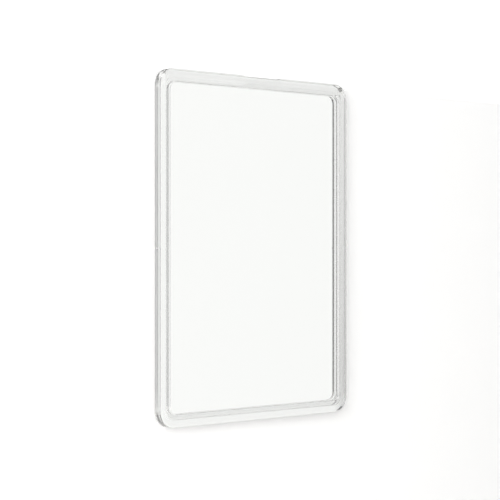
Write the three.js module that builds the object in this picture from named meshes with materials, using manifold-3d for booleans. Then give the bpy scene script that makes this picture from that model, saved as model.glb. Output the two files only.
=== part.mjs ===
// A clear A4 showcard frame, upright, with two clear cover sheets and no card in it.
// The frame is one moulding: a hollow ring that opens towards its window by a narrow mouth all
// round, and is slotted through the top rail, where the sheets slide in. Millimetres. +Z is up,
// the front faces -Y, and the origin is the middle of the frame.
import * as THREE from "three";
import { mergeVertices } from "three/addons/utils/BufferGeometryUtils.js";
import Module from "manifold-3d";

// Cover sheets, one at the front side of the mouth and one at the back side
const SHEET_WIDTH = 210;
const SHEET_HEIGHT = 297;
const SHEET_THICKNESS = 0.5;

// Gaps
const FACE_GAP = 0.3; // between a sheet and the side of the mouth that it lies against
const SIDE_CLEARANCE = 0.8; // between a sheet and the outer wall at each side
const SEAT_GAP = 0.5; // under the lower edge of each sheet
const TOP_CLEARANCE = 1.1; // between a sheet and the line of the outer wall at the top

// Frame moulding
const FRAME_DEPTH = 9;
const OUTER_WALL = 6.2; // solid, from the outer edge to the chamber inside the rail
const CHAMBER_WIDTH = 3.5; // from the outer wall to the inner one
const INNER_WALL = 1.7; // along the window, cut through by the mouth
const FACE_WALL = 1.6; // front and back of the chamber
const MOUTH_GAP = 2.5;
const CORNER_RADIUS = 14.5;
const WINDOW_CORNER_RADIUS = 7.5;
const OUTER_EDGE_RADIUS = 1.6;
const WINDOW_EDGE_RADIUS = 0.9;
const MOUTH_EDGE_RADIUS = 0.4;
const CHAMBER_FILLET = 0.4;

// Thumb notch in the top edge of the front face
const NOTCH_WIDTH = 44;
const NOTCH_DEPTH = 1.6;
const NOTCH_OFFSET = 5; // of its middle, to the right of the frame's middle
const NOTCH_SHOULDER = 5; // length of the slope at each end
const SCOOP_DEPTH = 0.5; // how far the front face falls back at the notch's edge

// Small moulding marks at mid-height of the two long rails
const GATE_RADIUS = 1.3;
const GATE_RECESS = 0.3; // depth of the dimple in the outer face
const NUB_RADIUS = 0.9;
const NUB_RISE = 0.7; // into the window, from the inner wall
const NUB_LENGTH = 1;

// Facets
const CORNER_STEPS = 8;
const EDGE_STEPS = 5;
const SHEET_CORNER_STEPS = 12;
const SHOULDER_STEPS = 4;
const ROUND_SIDES = 16;

// Sizes that follow from those above
const channelWidth = SHEET_WIDTH + 2 * SIDE_CLEARANCE;
const channelHeight = SHEET_HEIGHT + SEAT_GAP + TOP_CLEARANCE;
const chamberGap = FRAME_DEPTH - 2 * FACE_WALL;
const chamberEdge = OUTER_WALL + CHAMBER_WIDTH;
const frameWidth = channelWidth + 2 * OUTER_WALL;
const frameHeight = channelHeight + 2 * OUTER_WALL;
const railWidth = chamberEdge + INNER_WALL;
const channelRadius = radiusAt(OUTER_WALL);
const sheetRadius = channelRadius - SIDE_CLEARANCE;

const wasm = await Module();
wasm.setup();

const smooth = (t) => t * t * (3 - 2 * t);
const clamp = (t) => Math.min(Math.max(t, 0), 1);

// Points on a quarter turn about (inset, depth), from one angle to another, in degrees.
function quarter(inset, depth, radius, from, to) {
  const points = [];
  for (let i = 0; i <= EDGE_STEPS; i += 1) {
    const angle = THREE.MathUtils.degToRad(from + ((to - from) * i) / EDGE_STEPS);
    points.push([inset + radius * Math.cos(angle), depth + radius * Math.sin(angle)]);
  }
  return points;
}

// Half of the rail's section, as [inset from the outer edge, depth from the middle plane], from
// the outer side over the face and the window's edge, through the mouth and round the chamber.
function halfSection() {
  const face = FRAME_DEPTH / 2;
  const [mouth, chamber] = [MOUTH_GAP / 2, chamberGap / 2];
  const [outer, window, lip, fillet] = [
    OUTER_EDGE_RADIUS,
    WINDOW_EDGE_RADIUS,
    MOUTH_EDGE_RADIUS,
    CHAMBER_FILLET,
  ];
  return [
    ...quarter(outer, face - outer, outer, 180, 90),
    ...quarter(railWidth - window, face - window, window, 90, 0),
    ...quarter(railWidth - lip, mouth + lip, lip, 0, -90),
    [chamberEdge, mouth],
    [chamberEdge, chamber],
    ...quarter(OUTER_WALL + fillet, chamber - fillet, fillet, 90, 180),
  ];
}

// How far a place along the top rail lies inside the thumb notch, from 0 outside to 1.
function notchShare(x) {
  const past = NOTCH_WIDTH / 2 - Math.abs(x - NOTCH_OFFSET);
  return smooth(clamp(past / NOTCH_SHOULDER));
}

// Places along the top rail, right to left, that the slopes of the notch need.
function notchPlaces() {
  const places = [];
  for (const side of [1, -1]) {
    for (let i = 0; i <= SHOULDER_STEPS; i += 1) {
      const step = side > 0 ? i : SHOULDER_STEPS - i;
      const reach = NOTCH_WIDTH / 2 - (NOTCH_SHOULDER * step) / SHOULDER_STEPS;
      places.push(NOTCH_OFFSET + side * reach);
    }
  }
  return places;
}

// The corner radius of the line that runs round the rail at this inset.
function radiusAt(inset) {
  return CORNER_RADIUS + ((WINDOW_CORNER_RADIUS - CORNER_RADIUS) * inset) / railWidth;
}

// One line round the rail, anticlockwise from the front, at the section's point. face is -1 in
// the front half and 1 in the back half.
function railLine([inset, depth], face) {
  const radius = radiusAt(inset);
  const halfWidth = frameWidth / 2 - inset;
  const halfHeight = frameHeight / 2 - inset;
  const line = [];
  const corners = [[1, 1, 0], [-1, 1, 90], [-1, -1, 180], [1, -1, 270]];
  for (const [sideX, sideZ, start] of corners) {
    for (let i = 0; i <= CORNER_STEPS; i += 1) {
      const angle = THREE.MathUtils.degToRad(start + (90 * i) / CORNER_STEPS);
      const x = sideX * (halfWidth - radius) + radius * Math.cos(angle);
      const z = sideZ * (halfHeight - radius) + radius * Math.sin(angle);
      line.push(new THREE.Vector3(x, face * depth, z));
    }
    if (start === 0) {
      line.push(...notchPlaces().map((x) => topPoint(x, inset, depth, face)));
    }
  }
  return line;
}

// A point of the top rail. In the notch the front face is lower and leans back.
function topPoint(x, inset, depth, face) {
  const height = frameHeight / 2 - inset;
  const outward = depth - chamberGap / 2;
  if (face > 0 || outward <= 0) {
    return new THREE.Vector3(x, face * depth, height);
  }
  const share = notchShare(x) * clamp(1 - inset / chamberEdge);
  const setBack = (SCOOP_DEPTH * share * outward) / FACE_WALL;
  return new THREE.Vector3(x, face * (depth - setBack), height - NOTCH_DEPTH * share);
}

// The closed ring through all the section's lines.
function ringGeometry() {
  const half = halfSection();
  const front = half.map((point) => railLine(point, -1));
  const back = half.map((point) => railLine(point, 1)).reverse();
  const lines = [...front, ...back];
  const count = lines[0].length;
  const positions = lines.flat().flatMap((point) => [point.x, point.y, point.z]);
  const index = [];
  lines.forEach((line, row) => {
    const next = (row + 1) % lines.length;
    for (let i = 0; i < count; i += 1) {
      const j = (i + 1) % count;
      const [a, b, c, d] = [row * count + i, row * count + j, next * count + j, next * count + i];
      index.push(a, b, c, a, c, d);
    }
  });
  const geometry = new THREE.BufferGeometry();
  geometry.setAttribute("position", new THREE.Float32BufferAttribute(positions, 3));
  geometry.setIndex(index);
  return geometry;
}

function toSolid(geometry) {
  const bare = geometry.clone();
  bare.deleteAttribute("normal");
  bare.deleteAttribute("uv");
  const merged = mergeVertices(bare);
  return new wasm.Manifold(
    new wasm.Mesh({
      numProp: 3,
      vertProperties: merged.attributes.position.array,
      triVerts: Uint32Array.from(merged.index.array),
    }),
  );
}

function toGeometry(solid) {
  const { vertProperties, triVerts } = solid.getMesh();
  const geometry = new THREE.BufferGeometry();
  geometry.setAttribute("position", new THREE.BufferAttribute(vertProperties, 3));
  geometry.setIndex(new THREE.BufferAttribute(triVerts, 1));
  geometry.computeVertexNormals();
  return geometry;
}

// A cut down through the top rail, as long as the channel is wide, with that gap front to back.
function topCut(gap, inset) {
  const cut = new THREE.BoxGeometry(channelWidth, gap, 2 * inset);
  return cut.translate(0, 0, frameHeight / 2);
}

// The slot opens the top rail's chamber. Below it, a cut as narrow as the mouth takes in the
// chamber's upper corners, so the sheets pass straight out.
function slotted(solid) {
  const slot = toSolid(topCut(chamberGap, chamberEdge));
  const corners = toSolid(topCut(MOUTH_GAP, OUTER_WALL + channelRadius));
  return solid.subtract(slot).subtract(corners);
}

// The dimple that the gate leaves in the outer face of a long rail, as a disc along X.
function gateCut(side) {
  const disc = new THREE.CylinderGeometry(GATE_RADIUS, GATE_RADIUS, 2 * GATE_RECESS, ROUND_SIDES);
  return disc.rotateZ(Math.PI / 2).translate((side * frameWidth) / 2, 0, 0);
}

// The nub on the inner wall, in its back half, a stub pin along Y.
function nubPin(side) {
  const middle = (chamberGap + NUB_LENGTH) / 2;
  const x = side * (frameWidth / 2 - railWidth - NUB_RISE + NUB_RADIUS);
  const pin = new THREE.CylinderGeometry(NUB_RADIUS, NUB_RADIUS, NUB_LENGTH, ROUND_SIDES);
  return pin.translate(x, middle, 0);
}

function frameGeometry() {
  let solid = slotted(toSolid(ringGeometry()));
  for (const side of [1, -1]) {
    solid = solid.subtract(toSolid(gateCut(side))).add(toSolid(nubPin(side)));
  }
  return toGeometry(solid);
}

// A cover sheet in the XZ plane, centred on Y, with its lower edge at z = 0 and round corners
// that clear those of the outer wall.
function sheetGeometry() {
  const [right, top, radius] = [SHEET_WIDTH / 2, SHEET_HEIGHT, sheetRadius];
  const outline = new THREE.Shape();
  outline.moveTo(radius - right, 0);
  outline.absarc(right - radius, radius, radius, -Math.PI / 2, 0);
  outline.absarc(right - radius, top - radius, radius, 0, Math.PI / 2);
  outline.absarc(radius - right, top - radius, radius, Math.PI / 2, Math.PI);
  outline.absarc(radius - right, radius, radius, Math.PI, 1.5 * Math.PI);
  const options = { depth: SHEET_THICKNESS, bevelEnabled: false, curveSegments: SHEET_CORNER_STEPS };
  const sheet = new THREE.ExtrudeGeometry(outline, options);
  return sheet.rotateX(Math.PI / 2).translate(0, SHEET_THICKNESS / 2, 0);
}

function addPiece(group, name, geometry, look) {
  const mesh = new THREE.Mesh(geometry, new THREE.MeshStandardMaterial(look));
  mesh.name = name;
  group.add(mesh);
  return mesh;
}

const displayFrame = new THREE.Group();
addPiece(displayFrame, "frame_moulding", frameGeometry(), {
  color: 0xe6eae8,
  roughness: 0.08,
  metalness: 0,
  transparent: true,
  opacity: 0.35,
});

const sheets = new THREE.Group();
sheets.position.z = OUTER_WALL + SEAT_GAP - frameHeight / 2;
displayFrame.add(sheets);

const clearFilm = { color: 0xf2f4f1, roughness: 0.2, metalness: 0, transparent: true, opacity: 0.3 };
const sheetDepth = (MOUTH_GAP - SHEET_THICKNESS) / 2 - FACE_GAP;
for (const [name, side] of [["front_cover_sheet", -1], ["back_cover_sheet", 1]]) {
  addPiece(sheets, name, sheetGeometry(), clearFilm).position.y = side * sheetDepth;
}

export default displayFrame;
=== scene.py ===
import math

import bmesh
import bpy
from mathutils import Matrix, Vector


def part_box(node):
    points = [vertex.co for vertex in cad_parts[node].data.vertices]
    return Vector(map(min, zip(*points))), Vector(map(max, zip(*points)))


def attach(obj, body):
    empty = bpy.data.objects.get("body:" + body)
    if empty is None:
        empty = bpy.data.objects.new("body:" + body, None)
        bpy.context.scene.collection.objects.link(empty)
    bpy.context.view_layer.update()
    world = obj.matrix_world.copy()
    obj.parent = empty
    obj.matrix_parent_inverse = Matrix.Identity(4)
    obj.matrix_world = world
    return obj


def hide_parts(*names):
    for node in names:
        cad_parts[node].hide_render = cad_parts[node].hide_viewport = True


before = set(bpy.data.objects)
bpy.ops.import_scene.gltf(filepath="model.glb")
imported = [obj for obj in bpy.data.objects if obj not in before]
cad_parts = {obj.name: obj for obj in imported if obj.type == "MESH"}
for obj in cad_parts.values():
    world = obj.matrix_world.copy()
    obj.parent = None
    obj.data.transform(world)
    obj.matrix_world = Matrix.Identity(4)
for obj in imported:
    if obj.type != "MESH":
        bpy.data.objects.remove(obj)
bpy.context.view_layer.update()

MM = 0.001

# Sizes of the moulding, as it is drawn in the part
OUTER_WALL = 6.2 * MM  # solid, from the outer edge to the chamber inside the rail
CHAMBER_WIDTH = 3.5 * MM
INNER_WALL = 1.7 * MM  # along the window, cut through by the mouth
FACE_WALL = 1.6 * MM
MOUTH_GAP = 2.5 * MM
CORNER_RADIUS = 14.5 * MM
WINDOW_CORNER_RADIUS = 7.5 * MM
OUTER_EDGE_RADIUS = 1.6 * MM
WINDOW_EDGE_RADIUS = 0.9 * MM
MOUTH_EDGE_RADIUS = 0.4 * MM
CHAMBER_FILLET = 0.4 * MM
SINK_DEPTH = 0.01 * MM  # the faces shrink in a little over the solid outer wall
NOTCH_WIDTH = 44 * MM
NOTCH_DEPTH = 1.6 * MM
NOTCH_OFFSET = 5 * MM
NOTCH_SHOULDER = 5 * MM
SCOOP_DEPTH = 0.5 * MM
GATE_RADIUS = 1.3 * MM
GATE_RECESS = 0.3 * MM
NUB_RADIUS = 0.9 * MM
NUB_RISE = 0.7 * MM
NUB_LENGTH = 1 * MM

# Fineness of the mesh
CORNER_STEPS = 28
EDGE_STEPS = 10
FACE_STEPS = 16
NOTCH_STEPS = 60
RAIL_STEPS = 40
ROUND_SIDES = 32

mould_low, mould_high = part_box("frame_moulding")
HALF_WIDTH = (mould_high[0] - mould_low[0]) / 2
HALF_HEIGHT = (mould_high[2] - mould_low[2]) / 2
HALF_DEPTH = (mould_high[1] - mould_low[1]) / 2
CHAMBER_EDGE = OUTER_WALL + CHAMBER_WIDTH
RAIL_WIDTH = CHAMBER_EDGE + INNER_WALL
HALF_CHAMBER = HALF_DEPTH - FACE_WALL
HALF_MOUTH = MOUTH_GAP / 2
CORNER_SLOPE = (WINDOW_CORNER_RADIUS - CORNER_RADIUS) / RAIL_WIDTH

# The wall and floor, in metres
WALL_GAP = 0.3 * MM
WALL_HALF_WIDTH = 3.0
WALL_TOP = 2.0
FLOOR_LEVEL = -0.7
FLOOR_FRONT = -3.0

# Light on the wall
WALL_LIFT = 0.05
PAINTED_TOP_GLOW = 0.4  # painted glow on the wall just above the frame, which hides the shadow there
PAINTED_TOP_GLOW_BLEND = 3 * MM
PAINTED_LEE_SHADOW = (0.25, 0.6)  # painted shadow: the share of the wall's shadow that shows through the right rail, set by place, at its top and its foot
AMBIENT = 0.62
LAMP_POWER = 84
LAMP_SIDE = 2.0
LAMP_PLACE = (-2.2, -1.3, 0.9)

# The room that the plastic mirrors. Each pair is a blend's start and end, as directions.
ROOM_LEVEL = 0.14
LAMP_SIDE_LEVEL = 0.9
LAMP_SIDE_BLEND = (0.2, -0.3)
DARK_RIGHT_BLEND = (0.655, 0.7)
DARK_LOW_BLEND = (-0.02, -0.085)
STRIP_HEIGHT = 0.11
STRIP_BLEND = (0.0024, 0.001)
STRIP_LEVEL = 0.8

# The clear plastics. A shade is the share of light that each surface lets on to the wall.
LONG_PATH = 16.5  # turns of a ray, after which it leaks out
HAZE_SHARE = 0.6
POLYSTYRENE_IOR = 1.59
POLYSTYRENE_SHADE = 0.64
FLOW_LENGTH = 60 * MM
FLOW_WAVE = 0.03 * MM
WEAR_GRAIN = 6 * MM  # coarser than the real fine scratches, so that it shows
POLISH = (0.02, 0.03)
DRAG_HAZE = 0.3  # roughness of the outer sides
FILM_IOR = 1.2  # below that of PVC, because the sheets show no reflection
FILM_SHADE = 0.985
TOOTH_GRAIN = 0.8 * MM  # coarser than the real tooth, so that it shows
TOOTH = (0.1, 0.12)
BOW_LENGTH = 90 * MM
BOW_DEPTH = 0.05 * MM
SHARP_ANGLE = 35


def smooth(t):
    t = min(max(t, 0.0), 1.0)
    return t * t * (3 - 2 * t)


def quarter(inset, depth, radius, start, end):
    """Points on a quarter turn about (inset, depth), between two angles in degrees."""
    points = []
    for i in range(EDGE_STEPS + 1):
        angle = math.radians(start + (end - start) * i / EDGE_STEPS)
        points.append((inset + radius * math.cos(angle), depth + radius * math.sin(angle)))
    return points


def half_section():
    """Half of the rail's section as (inset, depth): side, face, window edge, mouth, chamber."""
    outer, window, lip, fillet = (
        OUTER_EDGE_RADIUS, WINDOW_EDGE_RADIUS, MOUTH_EDGE_RADIUS, CHAMBER_FILLET
    )
    points = quarter(outer, HALF_DEPTH - outer, outer, 180, 90)
    for i in range(1, FACE_STEPS):
        inset = outer + (RAIL_WIDTH - window - outer) * i / FACE_STEPS
        over_wall = math.sin(math.pi * min(inset / OUTER_WALL, 1.0))
        points.append((inset, HALF_DEPTH - SINK_DEPTH * over_wall**2))
    points += quarter(RAIL_WIDTH - window, HALF_DEPTH - window, window, 90, 0)
    points += quarter(RAIL_WIDTH - lip, HALF_MOUTH + lip, lip, 0, -90)
    points += [(CHAMBER_EDGE, HALF_MOUTH), (CHAMBER_EDGE, HALF_CHAMBER)]
    points += quarter(OUTER_WALL + fillet, HALF_CHAMBER - fillet, fillet, 90, 180)
    return points


def notch_share(x):
    """How far a place on the top rail lies inside the thumb notch, from 0 to 1."""
    return smooth((NOTCH_WIDTH / 2 - abs(x - NOTCH_OFFSET)) / NOTCH_SHOULDER)


def notched(x, inset, depth, side):
    """A point of the top rail, lowered and set back where the front face is notched. The whole
    front lip is lowered here, while the part's own solid keeps the inner edge of its top."""
    if side > 0:
        return (x, side * depth, HALF_HEIGHT - inset)
    share = notch_share(x) * max(0.0, 1 - inset / CHAMBER_EDGE)
    set_back = SCOOP_DEPTH * share * max(0.0, depth - HALF_CHAMBER) / FACE_WALL
    return (x, side * (depth - set_back), HALF_HEIGHT - inset - NOTCH_DEPTH * share)


def rail_line(inset, depth, side):
    """One line round the rail at that point of the section, in front (-1) or behind (1)."""
    radius = CORNER_RADIUS + CORNER_SLOPE * inset
    centre_x = HALF_WIDTH - inset - radius
    centre_z = HALF_HEIGHT - inset - radius
    line = []
    for side_x, side_z, start in ((1, 1, 0), (-1, 1, 90), (-1, -1, 180), (1, -1, 270)):
        for i in range(CORNER_STEPS + 1):
            angle = math.radians(start + 90 * i / CORNER_STEPS)
            x = side_x * centre_x + radius * math.cos(angle)
            z = side_z * centre_z + radius * math.sin(angle)
            line.append((x, side * depth, z))
        ahead = (-math.sin(math.radians(start + 90)), math.cos(math.radians(start + 90)))
        if start == 0:
            reach = NOTCH_WIDTH / 2
            for i in range(NOTCH_STEPS + 1):
                x = NOTCH_OFFSET + reach * (1 - 2 * i / NOTCH_STEPS)
                line.append(notched(x, inset, depth, side))
        else:
            length = 2 * (centre_z if start in (90, 270) else centre_x)
            for i in range(1, RAIL_STEPS):
                x, _, z = line[-i]
                step = length * i / RAIL_STEPS
                line.append((x + ahead[0] * step, side * depth, z + ahead[1] * step))
    return line


def mesh_piece(name, vertices, faces):
    mesh = bpy.data.meshes.new(name)
    mesh.from_pydata(vertices, [], faces)
    mesh.validate()
    piece = bpy.data.objects.new(name, mesh)
    bpy.context.collection.objects.link(piece)
    return piece


def channel_ring():
    """The moulding's closed ring, before its slot is cut."""
    half = half_section()
    lines = [rail_line(inset, depth, -1) for inset, depth in half]
    lines += [rail_line(inset, depth, 1) for inset, depth in reversed(half)]
    count = len(lines[0])
    faces = []
    for row in range(len(lines)):
        after = (row + 1) % len(lines)
        for i in range(count):
            j = (i + 1) % count
            faces.append((row * count + i, row * count + j, after * count + j, after * count + i))
    return mesh_piece("clear_moulding", [point for line in lines for point in line], faces)


def prism_along_x(name, section, half_length):
    """A bar with that section in Y and Z."""
    count = len(section)
    vertices = [(end * half_length, y, z) for end in (-1, 1) for y, z in section]
    faces = [tuple(reversed(range(count))), tuple(range(count, 2 * count))]
    for i in range(count):
        j = (i + 1) % count
        faces.append((i, j, count + j, count + i))
    return mesh_piece(name, vertices, faces)


def top_cutter(name, half_gap, inset):
    """A cut down through the top rail, from side wall to side wall."""
    low, high = HALF_HEIGHT - inset, HALF_HEIGHT + inset
    section = ((-half_gap, low), (half_gap, low), (half_gap, high), (-half_gap, high))
    return prism_along_x(name, section, HALF_WIDTH - OUTER_WALL)


def round_bar(name, radius, length, centre, axis):
    mesh = bpy.data.meshes.new(name)
    form = bmesh.new()
    bmesh.ops.create_cone(
        form, cap_ends=True, segments=ROUND_SIDES, radius1=radius, radius2=radius, depth=length
    )
    turn = Vector((0, 0, 1)).rotation_difference(Vector(axis)).to_matrix()
    bmesh.ops.rotate(form, verts=form.verts, matrix=turn)
    bmesh.ops.translate(form, verts=form.verts, vec=centre)
    form.to_mesh(mesh)
    form.free()
    piece = bpy.data.objects.new(name, mesh)
    bpy.context.collection.objects.link(piece)
    return piece


def cut_or_join(piece, tool, operation):
    boolean = piece.modifiers.new(tool.name, "BOOLEAN")
    boolean.operation = operation
    boolean.solver = "MANIFOLD"
    boolean.object = tool
    apply_modifiers(piece)
    bpy.data.objects.remove(tool)


def apply_modifiers(piece):
    """Replaces the piece's mesh by what its modifiers make of it."""
    graph = bpy.context.evaluated_depsgraph_get()
    made = bpy.data.meshes.new_from_object(piece.evaluated_get(graph))
    piece.modifiers.clear()
    piece.data = made


def clear_moulding():
    piece = channel_ring()
    corner_depth = OUTER_WALL + CORNER_RADIUS + CORNER_SLOPE * OUTER_WALL
    cut_or_join(piece, top_cutter("slot", HALF_CHAMBER, CHAMBER_EDGE), "DIFFERENCE")
    cut_or_join(piece, top_cutter("corners", HALF_MOUTH, corner_depth), "DIFFERENCE")
    for side in (-1, 1):
        gate = round_bar(
            "gate", GATE_RADIUS, 2 * GATE_RECESS, (side * HALF_WIDTH, 0, 0), (1, 0, 0)
        )
        cut_or_join(piece, gate, "DIFFERENCE")
        nub_x = side * (HALF_WIDTH - RAIL_WIDTH - NUB_RISE + NUB_RADIUS)
        nub_y = HALF_CHAMBER + NUB_LENGTH / 2
        nub = round_bar("nub", NUB_RADIUS, NUB_LENGTH, (nub_x, nub_y, 0), (0, 1, 0))
        cut_or_join(piece, nub, "UNION")
    return piece


def soften(piece, angle):
    """Smooth shading that stays flat on the flats and breaks at sharp edges."""
    piece.data.polygons.foreach_set("use_smooth", [True] * len(piece.data.polygons))
    piece.data.set_sharp_from_angle(angle=math.radians(angle))
    weighted = piece.modifiers.new("flats_stay_flat", "WEIGHTED_NORMAL")
    weighted.keep_sharp = True


def linear(hex_colour):
    """An sRGB hex colour as the linear RGBA that the shaders take."""
    channels = [int(hex_colour[i : i + 2], 16) / 255 for i in (1, 3, 5)]
    bent = [c / 12.92 if c <= 0.04045 else ((c + 0.055) / 1.055) ** 2.4 for c in channels]
    return (*bent, 1.0)


def add_node(tree, kind, settings=None, links=None):
    """Adds one node, sets its sockets or options, and feeds it from other nodes' outputs."""
    made = tree.nodes.new("ShaderNode" + kind)
    for name, value in (settings or {}).items():
        if isinstance(name, int) or name in made.inputs:
            made.inputs[name].default_value = value
        else:
            setattr(made, name, value)
    for name, output in (links or {}).items():
        tree.links.new(output, made.inputs[name])
    return made


def new_material(name):
    material = bpy.data.materials.new(name)
    material.use_nodes = True
    material.node_tree.nodes.clear()
    return material, material.node_tree


def see_through(tree, body, shade):
    """Light that crosses the piece on its way to the wall is only dimmed, to that share. Light
    that has been thrown to and fro inside for long leaks out through the fine haze."""
    passing = add_node(tree, "BsdfTransparent", {"Color": (shade, shade, shade, 1)})
    ray = add_node(tree, "LightPath")
    through = add_node(
        tree, "Math", {"operation": "MAXIMUM"},
        {0: ray.outputs["Is Shadow Ray"], 1: ray.outputs["Is Diffuse Ray"]},
    )
    clear = add_node(
        tree, "MixShader", {},
        {0: through.outputs[0], 1: body.outputs[0], 2: passing.outputs[0]},
    )
    trapped = add_node(
        tree, "Math", {"operation": "GREATER_THAN", 1: LONG_PATH}, {0: ray.outputs["Ray Depth"]}
    )
    haze = add_node(tree, "BsdfTransparent", {"Color": (HAZE_SHARE, HAZE_SHARE, HAZE_SHARE, 1)})
    surface = add_node(
        tree, "MixShader", {}, {0: trapped.outputs[0], 1: clear.outputs[0], 2: haze.outputs[0]}
    )
    add_node(tree, "OutputMaterial", {}, {"Surface": surface.outputs[0]})


def moulded_polystyrene():
    """Crystal polystyrene, injection-moulded in a polished tool. It is water-clear with bright
    edges, the flow of the melt leaves long, shallow waves, and the outer sides, which drag along
    the tool as the frame is pushed out, are a little hazy."""
    material, tree = new_material("moulded_clear_polystyrene")
    place = add_node(tree, "TexCoord")
    flow = add_node(
        tree, "TexNoise", {"Scale": 1 / FLOW_LENGTH, "Detail": 2.0}, {"Vector": place.outputs["Object"]}
    )
    waves = add_node(tree, "Bump", {"Strength": 1.0, "Distance": FLOW_WAVE}, {"Height": flow.outputs[0]})
    wear = add_node(
        tree, "TexNoise", {"Scale": 1 / WEAR_GRAIN, "Detail": 3.0}, {"Vector": place.outputs["Object"]}
    )
    polish = add_node(
        tree, "MapRange",
        {"From Min": 0.45, "From Max": 0.75, "To Min": POLISH[0], "To Max": POLISH[1]},
        {"Value": wear.outputs[0]},
    )
    parts = add_node(tree, "SeparateXYZ", {}, {0: place.outputs["Object"]})
    across = add_node(tree, "Math", {"operation": "ABSOLUTE"}, {0: parts.outputs["X"]})
    aside = add_node(tree, "Math", {"operation": "SUBTRACT", 0: HALF_WIDTH}, {1: across.outputs[0]})
    upright = add_node(tree, "Math", {"operation": "ABSOLUTE"}, {0: parts.outputs["Z"]})
    above = add_node(tree, "Math", {"operation": "SUBTRACT", 0: HALF_HEIGHT}, {1: upright.outputs[0]})
    inset = add_node(tree, "Math", {"operation": "MINIMUM"}, {0: aside.outputs[0], 1: above.outputs[0]})
    gloss = add_node(
        tree, "MapRange",
        {
            "From Min": OUTER_EDGE_RADIUS / 2, "From Max": OUTER_EDGE_RADIUS / 8,
            "To Max": DRAG_HAZE,
        },
        {"Value": inset.outputs[0], "To Min": polish.outputs[0]},
    )
    body = add_node(
        tree, "BsdfPrincipled",
        {"Base Color": linear("#FFFFFF"), "IOR": POLYSTYRENE_IOR, "Transmission Weight": 1.0},
        {"Normal": waves.outputs[0], "Roughness": gloss.outputs[0]},
    )
    see_through(tree, body, POLYSTYRENE_SHADE)
    return material


def pvc_film():
    """Rigid PVC sheet, calendered and cut to size. It is clear, with a slow bow, and its
    anti-glare side has a fine, even tooth that takes the edge off reflections."""
    material, tree = new_material("anti_glare_pvc_film")
    place = add_node(tree, "TexCoord")
    tooth = add_node(
        tree, "TexNoise", {"Scale": 1 / TOOTH_GRAIN, "Detail": 3.0}, {"Vector": place.outputs["Object"]}
    )
    gloss = add_node(
        tree, "MapRange",
        {"From Min": 0.3, "From Max": 0.7, "To Min": TOOTH[0], "To Max": TOOTH[1]},
        {"Value": tooth.outputs[0]},
    )
    bow = add_node(
        tree, "TexNoise", {"Scale": 1 / BOW_LENGTH, "Detail": 2.0}, {"Vector": place.outputs["Object"]}
    )
    bent = add_node(tree, "Bump", {"Strength": 1.0, "Distance": BOW_DEPTH}, {"Height": bow.outputs[0]})
    body = add_node(
        tree, "BsdfPrincipled",
        {"Base Color": linear("#FFFFFF"), "IOR": FILM_IOR, "Transmission Weight": 1.0},
        {"Normal": bent.outputs[0], "Roughness": gloss.outputs[0]},
    )
    see_through(tree, body, FILM_SHADE)
    return material


def white_wall():
    """Matt white paint. The frame's own shadow lies on it, on the lee side and below, while a painted
    glow keeps the wall above the frame white up to its edge, hiding the shadow there. Seen through
    the plastic it is an even glow, with a painted share of its shadow behind the right rail that
    grows towards the foot. From behind it is clear."""
    material, tree = new_material("white_painted_wall")
    place = add_node(tree, "NewGeometry")
    parts = add_node(tree, "SeparateXYZ", {}, {0: place.outputs["Position"]})
    paint = add_node(tree, "BsdfDiffuse", {"Color": linear("#F7F7F7")})
    ray = add_node(tree, "LightPath")
    # Painted glow for camera rays: the even lift of the backdrop, rising to a strong glow just above the
    # frame's top edge, which hides the shadow there.
    painted_top_glow_ramp = add_node(
        tree, "MapRange",
        {
            "From Min": HALF_HEIGHT - PAINTED_TOP_GLOW_BLEND, "From Max": HALF_HEIGHT,
            "To Min": WALL_LIFT, "To Max": PAINTED_TOP_GLOW,
        },
        {"Value": parts.outputs["Z"]},
    )
    lift_and_painted_top_glow = add_node(
        tree, "Math", {"operation": "MULTIPLY"}, {0: ray.outputs["Is Camera Ray"], 1: painted_top_glow_ramp.outputs[0]}
    )
    glow = add_node(tree, "Emission", {"Color": (1, 1, 1, 1)}, {"Strength": lift_and_painted_top_glow.outputs[0]})
    lit = add_node(tree, "AddShader", {}, {0: paint.outputs[0], 1: glow.outputs[0]})
    plain = add_node(tree, "Emission", {"Color": linear("#FEFFFD")})
    through = add_node(
        tree, "Math", {"operation": "MAXIMUM"},
        {0: ray.outputs["Is Transmission Ray"], 1: ray.outputs["Is Glossy Ray"]},
    )
    # Painted shadow: only behind the right rail does a share of the wall's shadow show through the
    # plastic, more towards its foot; elsewhere the wall seen through is an even glow.
    lee_side = add_node(
        tree, "MapRange", {"From Min": mould_high[0] - RAIL_WIDTH, "From Max": mould_high[0]},
        {"Value": parts.outputs["X"]},
    )
    painted_shadow_share = add_node(
        tree, "MapRange",
        {
            "From Min": HALF_HEIGHT, "From Max": -HALF_HEIGHT,
            "To Min": PAINTED_LEE_SHADOW[0], "To Max": PAINTED_LEE_SHADOW[1],
        },
        {"Value": parts.outputs["Z"]},
    )
    painted_lee_shade = add_node(
        tree, "Math", {"operation": "MULTIPLY"}, {0: lee_side.outputs[0], 1: painted_shadow_share.outputs[0]}
    )
    evened = add_node(
        tree, "Mix", {"data_type": "FLOAT", 3: 0.0}, {0: painted_lee_shade.outputs[0], 2: through.outputs[0]}
    )
    seen = add_node(
        tree, "MixShader", {}, {0: evened.outputs[0], 1: lit.outputs[0], 2: plain.outputs[0]}
    )
    clear = add_node(tree, "BsdfTransparent", {})
    mixed = add_node(
        tree, "MixShader", {},
        {0: place.outputs["Backfacing"], 1: seen.outputs[0], 2: clear.outputs[0]},
    )
    add_node(tree, "OutputMaterial", {}, {"Surface": mixed.outputs[0]})
    return material


def pale_floor():
    material, tree = new_material("pale_painted_floor")
    paint = add_node(tree, "BsdfDiffuse", {"Color": linear("#E6E5E2")})
    add_node(tree, "OutputMaterial", {}, {"Surface": paint.outputs[0]})
    return material


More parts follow.
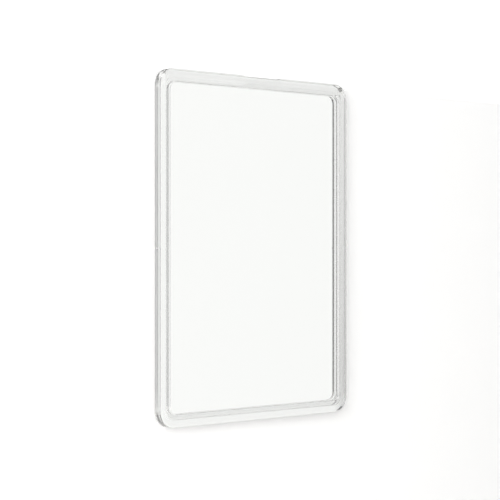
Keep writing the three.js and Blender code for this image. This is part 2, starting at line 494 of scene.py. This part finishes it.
def stage_wall():
    y = mould_high[1] + WALL_GAP
    side = WALL_HALF_WIDTH
    upright = [(-side, y, FLOOR_LEVEL), (side, y, FLOOR_LEVEL), (side, y, WALL_TOP), (-side, y, WALL_TOP)]
    wall = mesh_piece("wall", upright, [(0, 1, 2, 3)])
    wall.data.materials.append(white_wall())
    front = [(-side, FLOOR_FRONT, FLOOR_LEVEL), (side, FLOOR_FRONT, FLOOR_LEVEL)]
    level = front + upright[1::-1]
    floor = mesh_piece("floor", level, [(0, 1, 2, 3)])
    floor.data.materials.append(pale_floor())


def stage_world():
    """The white studio. A ray that has been mirrored finds a dimmer room: lighter on the left,
    towards the lamp, dark low down on the right, with a light strip higher up."""
    world = bpy.data.worlds.new("studio")
    bpy.context.scene.world = world
    world.use_nodes = True
    tree = world.node_tree
    tree.nodes.clear()
    ray = add_node(tree, "LightPath")
    place = add_node(tree, "TexCoord")
    parts = add_node(tree, "SeparateXYZ", {}, {0: place.outputs["Generated"]})
    lamp_side = add_node(
        tree, "MapRange",
        {
            "From Min": LAMP_SIDE_BLEND[0], "From Max": LAMP_SIDE_BLEND[1],
            "To Min": ROOM_LEVEL, "To Max": LAMP_SIDE_LEVEL,
        },
        {"Value": parts.outputs["X"]},
    )
    right = add_node(
        tree, "MapRange", {"From Min": DARK_RIGHT_BLEND[0], "From Max": DARK_RIGHT_BLEND[1]},
        {"Value": parts.outputs["X"]},
    )
    low = add_node(
        tree, "MapRange", {"From Min": DARK_LOW_BLEND[0], "From Max": DARK_LOW_BLEND[1]},
        {"Value": parts.outputs["Z"]},
    )
    dark = add_node(tree, "Math", {"operation": "MULTIPLY"}, {0: right.outputs[0], 1: low.outputs[0]})
    height = add_node(tree, "Math", {"operation": "SUBTRACT", 1: STRIP_HEIGHT}, {0: parts.outputs["Z"]})
    off = add_node(tree, "Math", {"operation": "ABSOLUTE"}, {0: height.outputs[0]})
    strip = add_node(
        tree, "MapRange",
        {
            "From Min": STRIP_BLEND[0], "From Max": STRIP_BLEND[1],
            "To Min": 0.0, "To Max": STRIP_LEVEL,
        },
        {"Value": off.outputs[0]},
    )
    room = add_node(
        tree, "Mix", {"data_type": "FLOAT", 3: 0.0}, {0: dark.outputs[0], 2: lamp_side.outputs[0]}
    )
    room = add_node(tree, "Math", {"operation": "ADD"}, {0: room.outputs[0], 1: strip.outputs[0]})
    mirrored = add_node(
        tree, "Math", {"operation": "GREATER_THAN", 1: 0.5}, {0: ray.outputs["Glossy Depth"]}
    )
    straight = add_node(
        tree, "Math", {"operation": "MAXIMUM"},
        {0: ray.outputs["Is Transmission Ray"], 1: ray.outputs["Is Camera Ray"]},
    )
    level = add_node(
        tree, "Mix", {"data_type": "FLOAT", 2: AMBIENT, 3: 1.0}, {0: straight.outputs[0]}
    )
    level = add_node(
        tree, "Mix", {"data_type": "FLOAT"},
        {0: mirrored.outputs[0], 2: level.outputs[0], 3: room.outputs[0]},
    )
    sky = add_node(tree, "Background", {}, {"Strength": level.outputs[0]})
    add_node(tree, "OutputWorld", {}, {"Surface": sky.outputs[0]})


def stage_lamp():
    lamp = bpy.data.lights.new("soft_box", "AREA")
    lamp.shape = "SQUARE"
    lamp.size = LAMP_SIDE
    lamp.energy = LAMP_POWER
    holder = bpy.data.objects.new("soft_box", lamp)
    holder.visible_glossy = False
    holder.visible_transmission = False
    bpy.context.collection.objects.link(holder)
    holder.location = LAMP_PLACE
    holder.rotation_euler = (-Vector(LAMP_PLACE)).to_track_quat("-Z", "Y").to_euler()


# Camera, from the photograph: level with the middle of the frame, which turns its left side near
PHOTO_SIDE = 500
SENSOR = 36
FOCAL_PIXELS = 1503
CAMERA_TURN = math.radians(40.9)
LEFT_EDGE_AHEAD = 1288.2 * MM
LEFT_EDGE_ASIDE = -76.7 * MM
EYE_DROP_PIXELS = 2


def stage_camera():
    camera = bpy.data.objects.new("camera", bpy.data.cameras.new("camera"))
    bpy.context.collection.objects.link(camera)
    camera.data.sensor_width = SENSOR
    camera.data.lens = SENSOR * FOCAL_PIXELS / PHOTO_SIDE
    right = Vector((math.cos(CAMERA_TURN), -math.sin(CAMERA_TURN), 0))
    ahead = Vector((math.sin(CAMERA_TURN), math.cos(CAMERA_TURN), 0))
    near_edge = Vector((mould_low[0], mould_low[1], 0))
    camera.location = near_edge - right * LEFT_EDGE_ASIDE - ahead * LEFT_EDGE_AHEAD
    tilt = math.atan(EYE_DROP_PIXELS / FOCAL_PIXELS)
    camera.rotation_euler = (math.pi / 2 - tilt, 0, -CAMERA_TURN)
    bpy.context.scene.camera = camera


moulding = clear_moulding()
soften(moulding, SHARP_ANGLE)
moulding.data.materials.clear()
moulding.data.materials.append(moulded_polystyrene())
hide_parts("frame_moulding")
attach(moulding, "frame")

film = pvc_film()
for name in ("front_cover_sheet", "back_cover_sheet"):
    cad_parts[name].data.materials.clear()
    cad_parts[name].data.materials.append(film)

stage_wall()
stage_world()
stage_lamp()
stage_camera()
bpy.context.scene.view_settings.view_transform = "Standard"
cycles = bpy.context.scene.cycles
cycles.max_bounces = 48
cycles.transmission_bounces = 32
cycles.glossy_bounces = 24
cycles.transparent_max_bounces = 48
